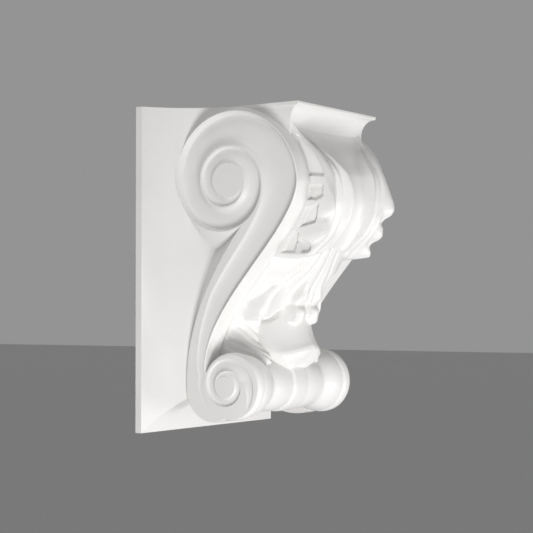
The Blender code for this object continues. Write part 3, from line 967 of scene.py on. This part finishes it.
@dataclass(frozen=True)
class CastingFinish:
    """Satin white of the moulded casting, with faint mottling and a fine orange-peel bump."""

    colour: Colour = (0.83, 0.82, 0.81, 1.0)
    shade: Colour = (0.80, 0.79, 0.775, 1.0)
    roughness: float = 0.42
    roughness_fall: float = 0.04
    roughness_rise: float = 0.05
    mottle_scale: float = 18.0
    mottle_detail: float = 4.0
    mottle_ends: Pair = (0.35, 0.65)
    grain_scale: float = 900.0
    grain_strength: float = 0.05
    grain_height: float = 0.0003

    def material(self) -> bpy.types.Material:
        """Builds the material from nodes on Object coordinates."""
        material = bpy.data.materials.new("casting_white")
        material.use_nodes = True
        tree = material.node_tree
        shader = tree.nodes["Principled BSDF"]
        shader.inputs["Metallic"].default_value = 0.0
        coords = tree.nodes.new("ShaderNodeTexCoord")
        mottle = tree.nodes.new("ShaderNodeTexNoise")
        mottle.inputs["Scale"].default_value = self.mottle_scale
        mottle.inputs["Detail"].default_value = self.mottle_detail
        tree.links.new(coords.outputs["Object"], mottle.inputs["Vector"])
        ramp = tree.nodes.new("ShaderNodeValToRGB")
        for end, place, tint in zip(ramp.color_ramp.elements, self.mottle_ends, (self.shade, self.colour)):
            end.position = place
            end.color = tint
        tree.links.new(mottle.outputs["Fac"], ramp.inputs["Fac"])
        tree.links.new(ramp.outputs["Color"], shader.inputs["Base Color"])
        sheen = tree.nodes.new("ShaderNodeMapRange")
        sheen.inputs["To Min"].default_value = self.roughness - self.roughness_fall
        sheen.inputs["To Max"].default_value = self.roughness + self.roughness_rise
        tree.links.new(mottle.outputs["Fac"], sheen.inputs["Value"])
        tree.links.new(sheen.outputs["Result"], shader.inputs["Roughness"])
        grain = tree.nodes.new("ShaderNodeTexNoise")
        grain.inputs["Scale"].default_value = self.grain_scale
        tree.links.new(coords.outputs["Object"], grain.inputs["Vector"])
        relief = tree.nodes.new("ShaderNodeBump")
        relief.inputs["Strength"].default_value = self.grain_strength
        relief.inputs["Distance"].default_value = self.grain_height
        tree.links.new(grain.outputs["Fac"], relief.inputs["Height"])
        tree.links.new(relief.outputs["Normal"], shader.inputs["Normal"])
        return material


@dataclass
class Casting:
    """The corbel itself: every mass joined into one piece, with the channels cut."""

    frame: Frame
    finish: CastingFinish = field(default_factory=CastingFinish)
    sharp_angle: float = math.radians(28.0)
    trim_sink: float = 0.020
    trim_half: float = 0.4
    trim_foot: Line = ((-0.01, -0.01), (0.30, -0.01), (0.30, 0.12))
    trim_top: Line = ((0.4610, 0.905), (0.4610, 1.01), (-0.01, 1.01))
    trim_steps: int = 48
    trim_turn: float = math.radians(34.0)
    trim_turn_steps: int = 18

    def combine(self, base: bpy.types.Object, tool: bpy.types.Object, join: Join) -> None:
        """Applies one boolean to the base and removes the tool.

        Args:
            base: The casting so far.
            tool: The solid to join to it or to cut from it.
            join: Which of these is done.
        """
        boolean = base.modifiers.new("join", "BOOLEAN")
        boolean.operation = join.value
        boolean.solver = "MANIFOLD"
        boolean.object = tool
        apply_modifiers(base)
        LOG.info("%s %s: %d faces", join.name.lower(), tool.name, len(base.data.polygons))
        bpy.data.objects.remove(tool, do_unlink=True)

    def even_normals(self, casting: bpy.types.Object) -> None:
        """Weights the casting's normals by face area, so that its flat faces shade flat.

        Args:
            casting: The joined casting.
        """
        weighted = casting.modifiers.new("weighted", "WEIGHTED_NORMAL")
        weighted.keep_sharp = True
        apply_modifiers(casting)

    def trim(self, scroll: SideScroll) -> bpy.types.Object:
        """Builds the prism that trims the block to the line of the S band.

        Args:
            scroll: The scroll whose front edge it follows.

        Returns:
            The closed prism.
        """
        sink = Vector((self.trim_sink, 0.0))
        line = [Vector(point) for point in self.trim_foot]
        line += [scroll.front_edge(1 - step / self.trim_steps) - sink for step in range(self.trim_steps)]
        line += [scroll.crest(self.trim_turn * step / self.trim_turn_steps) - sink
                 for step in range(self.trim_turn_steps + 1)]
        line += [Vector(point) for point in self.trim_top]
        ends = (-self.trim_half, self.trim_half)
        return loft([[self.frame.place(x, tuple(point)) for point in line] for x in ends], "trim")

    def build(self) -> bpy.types.Object:
        """Joins, cuts, shades and dresses the casting.

        Returns:
            The finished piece.
        """
        scrolls = [SideScroll(self.frame, side) for side in Side]
        casting = BackBody(self.frame).build()
        self.combine(casting, self.trim(scrolls[0]), Join.KEEP)
        for scroll in scrolls:
            for slab in (scroll.volute(), scroll.band()):
                self.combine(casting, slab, Join.ADD)
        self.combine(casting, CapMoulding(self.frame).build(), Join.ADD)
        self.combine(casting, LeafFront(self.frame, scrolls[0]).build(), Join.ADD)
        self.combine(casting, Roll(self.frame).build(), Join.ADD)
        for scroll in scrolls:
            for cutter in scroll.cutters():
                self.combine(casting, cutter, Join.CUT)
        casting.name = "corbel_casting"
        casting.data.shade_smooth()
        casting.data.set_sharp_from_angle(angle=self.sharp_angle)
        self.even_normals(casting)
        casting.data.materials.clear()
        casting.data.materials.append(self.finish.material())
        return casting


@dataclass(frozen=True)
class Lamp:
    """Soft square light: azimuth 0 is in front of the corbel, elevation is above it."""

    name: str
    azimuth: float
    elevation: float
    power: float
    distance: float = 1.30
    size: float = 0.45


@dataclass
class Studio:
    """Pale floor, soft light and the camera at the picture's angle."""

    frame: Frame
    lit_point: Triple = (0.0, -0.08, 0.0)
    lamps: tuple[Lamp, ...] = (
        Lamp("back_side", -100.0, 60.0, 3.6),
        Lamp("side", -50.0, -32.0, 11.9),
        Lamp("front", 20.0, -20.0, 6.5),
    )
    camera_place: Triple = (-1.2719, -0.8726, -0.0335)
    camera_turn: float = math.radians(57.80)
    camera_rise: float = math.radians(1.44)
    lens: float = 106.2
    sensor: float = 36.0
    clip_start: float = 0.01
    floor_gap: float = 1.20
    floor_size: float = 40.0
    floor_colour: Colour = (0.62, 0.62, 0.62, 1.0)
    floor_roughness: float = 0.9
    sky_colour: Colour = (0.80, 0.80, 0.80, 1.0)
    sky_strength: float = 0.37

    def camera(self) -> None:
        """Places the camera."""
        data = bpy.data.cameras.new("camera")
        data.lens = self.lens
        data.sensor_width = self.sensor
        data.clip_start = self.clip_start
        camera = bpy.data.objects.new("camera", data)
        camera.location = self.camera_place
        camera.rotation_euler = (QUARTER + self.camera_rise, 0.0, -self.camera_turn)
        bpy.context.scene.collection.objects.link(camera)
        bpy.context.scene.camera = camera

    def floor(self) -> None:
        """Lays the floor a little below the hanging corbel."""
        bm = bmesh.new()
        bmesh.ops.create_grid(bm, x_segments=1, y_segments=1, size=self.floor_size)
        bmesh.ops.translate(bm, verts=bm.verts, vec=(0.0, 0.0, self.frame.low.z - self.floor_gap))
        mesh = bpy.data.meshes.new("floor")
        bm.to_mesh(mesh)
        bm.free()
        floor = bpy.data.objects.new("floor", mesh)
        bpy.context.scene.collection.objects.link(floor)
        material = bpy.data.materials.new("floor_pale")
        material.use_nodes = True
        shader = material.node_tree.nodes["Principled BSDF"]
        shader.inputs["Base Color"].default_value = self.floor_colour
        shader.inputs["Roughness"].default_value = self.floor_roughness
        mesh.materials.append(material)

    def hang(self, lamp: Lamp) -> None:
        """Hangs one square soft light that looks at the corbel.

        Args:
            lamp: Its place, size and strength.
        """
        data = bpy.data.lights.new(lamp.name, "AREA")
        data.size = lamp.size
        data.energy = lamp.power
        light = bpy.data.objects.new(lamp.name, data)
        turn = math.radians(lamp.azimuth)
        rise = math.radians(lamp.elevation)
        away = Vector((math.sin(turn) * math.cos(rise), -math.cos(turn) * math.cos(rise), math.sin(rise)))
        light.location = Vector(self.lit_point) + away * lamp.distance
        light.rotation_euler = (-away).to_track_quat("-Z", "Y").to_euler()
        light.visible_camera = False
        bpy.context.scene.collection.objects.link(light)

    def build(self) -> None:
        """Sets up the whole stage."""
        self.camera()
        self.floor()
        for lamp in self.lamps:
            self.hang(lamp)
        world = bpy.data.worlds.new("studio")
        bpy.context.scene.world = world
        world.use_nodes = True
        background = world.node_tree.nodes["Background"]
        background.inputs["Color"].default_value = self.sky_colour
        background.inputs["Strength"].default_value = self.sky_strength
        bpy.context.scene.view_settings.view_transform = "Standard"


def main() -> None:
    """Builds the corbel and its stage."""
    logging.basicConfig(level=logging.INFO, format="%(name)s: %(message)s")
    low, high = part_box(NODE)
    sizes = Frame(Vector(low), Vector(high))
    casting = Casting(sizes).build()
    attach(casting, BODY)
    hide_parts(NODE)
    LOG.info("casting: %d faces", len(casting.data.polygons))
    Studio(sizes).build()


if __name__ == "__main__":
    main()
